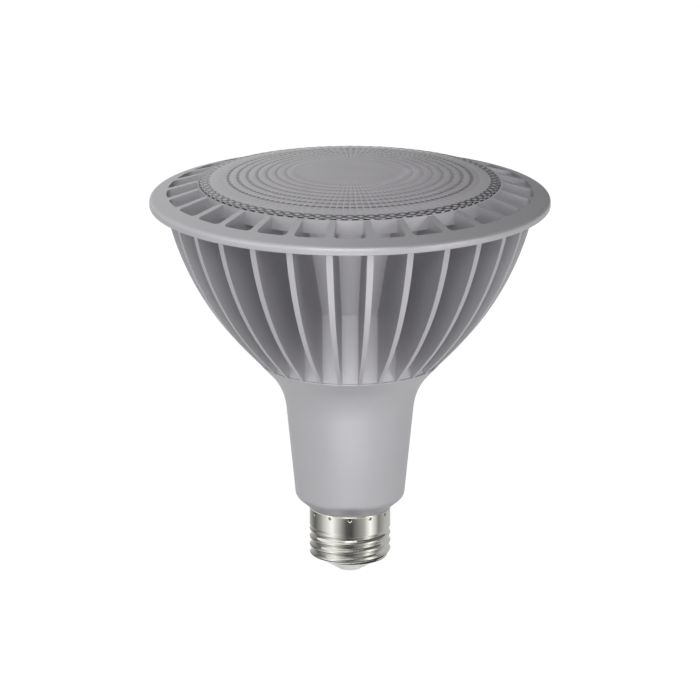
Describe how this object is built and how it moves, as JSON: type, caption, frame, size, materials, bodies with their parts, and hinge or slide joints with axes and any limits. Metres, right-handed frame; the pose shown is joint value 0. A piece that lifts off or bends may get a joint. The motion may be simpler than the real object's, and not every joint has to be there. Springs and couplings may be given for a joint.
{
  "type": "par spotlight bulb",
  "caption": "LED reflector lamp with a finned cast heat sink, a vented crown, a clear patterned lens and a medium screw base; it screws into a socket and throws a beam.",
  "frame": {"origin": "tip of the centre contact, on the lamp's axis", "axes": "+Z along the axis from the base to the lens, -Y to the viewer of the picture, +X to their right"},
  "size_m": [0.1272, 0.1272, 0.1329],
  "materials": {
    "casting_paint": "satin silver-grey paint on a die casting",
    "clear_lens": "clear moulded acrylic",
    "seal_rubber": "dark silicone rubber",
    "reflector_metallised": "vacuum-metallised plastic",
    "spreader_aluminium": "turned",
    "pad_silicone": "grey-blue thermal pad",
    "board_white": "white solder mask on a metal-core board",
    "emitter_ceramic": "white, matt",
    "emitter_phosphor": "yellow phosphor gel",
    "liner_plastic": "off-white moulded plastic",
    "washer_plastic": "grey insulating sheet",
    "board_green": "green glass-fibre board",
    "package_black": "black moulded package",
    "fuse_coating": "green coating",
    "film_yellow": "yellow moulded case",
    "choke_sleeve": "black shrink sleeve",
    "ferrite": "dark sintered ferrite",
    "winding_tape": "yellow polyester tape",
    "can_sleeve": "dark printed sleeve left blank",
    "lead_black": "black insulation",
    "lead_white": "white insulation",
    "lead_red": "red insulation",
    "nickel_plate": "nickel-plated sheet",
    "insulator_glass": "pale fired insulator",
    "contact_tin": "tinned rivet"
  },
  "bodies": {
    "root": {"heat_sink": "casting_paint", "lens": "clear_lens", "lens_seal": "seal_rubber", "reflector": "reflector_metallised", "heat_spreader": "spreader_aluminium", "thermal_pad": "pad_silicone", "led_board": "board_white", "led_substrate": "emitter_ceramic", "led_phosphor": "emitter_phosphor", "driver_housing": "liner_plastic", "housing_lid": "liner_plastic", "insulating_washer": "washer_plastic", "driver_board": "board_green", "fuse_resistor": "fuse_coating", "bridge_rectifier": "package_black", "film_capacitor": "film_yellow", "filter_choke": "choke_sleeve", "transformer_core": "ferrite", "transformer_winding": "winding_tape", "bulk_capacitor": "can_sleeve", "output_capacitor": "can_sleeve", "power_transistor": "package_black", "controller_chip": "package_black", "output_diode": "package_black", "line_lead": "lead_black", "neutral_lead": "lead_white", "led_lead_negative": "lead_black", "led_lead_positive": "lead_red", "screw_shell": "nickel_plate", "base_insulator": "insulator_glass", "centre_contact": "contact_tin"}
  },
  "joints": []
}
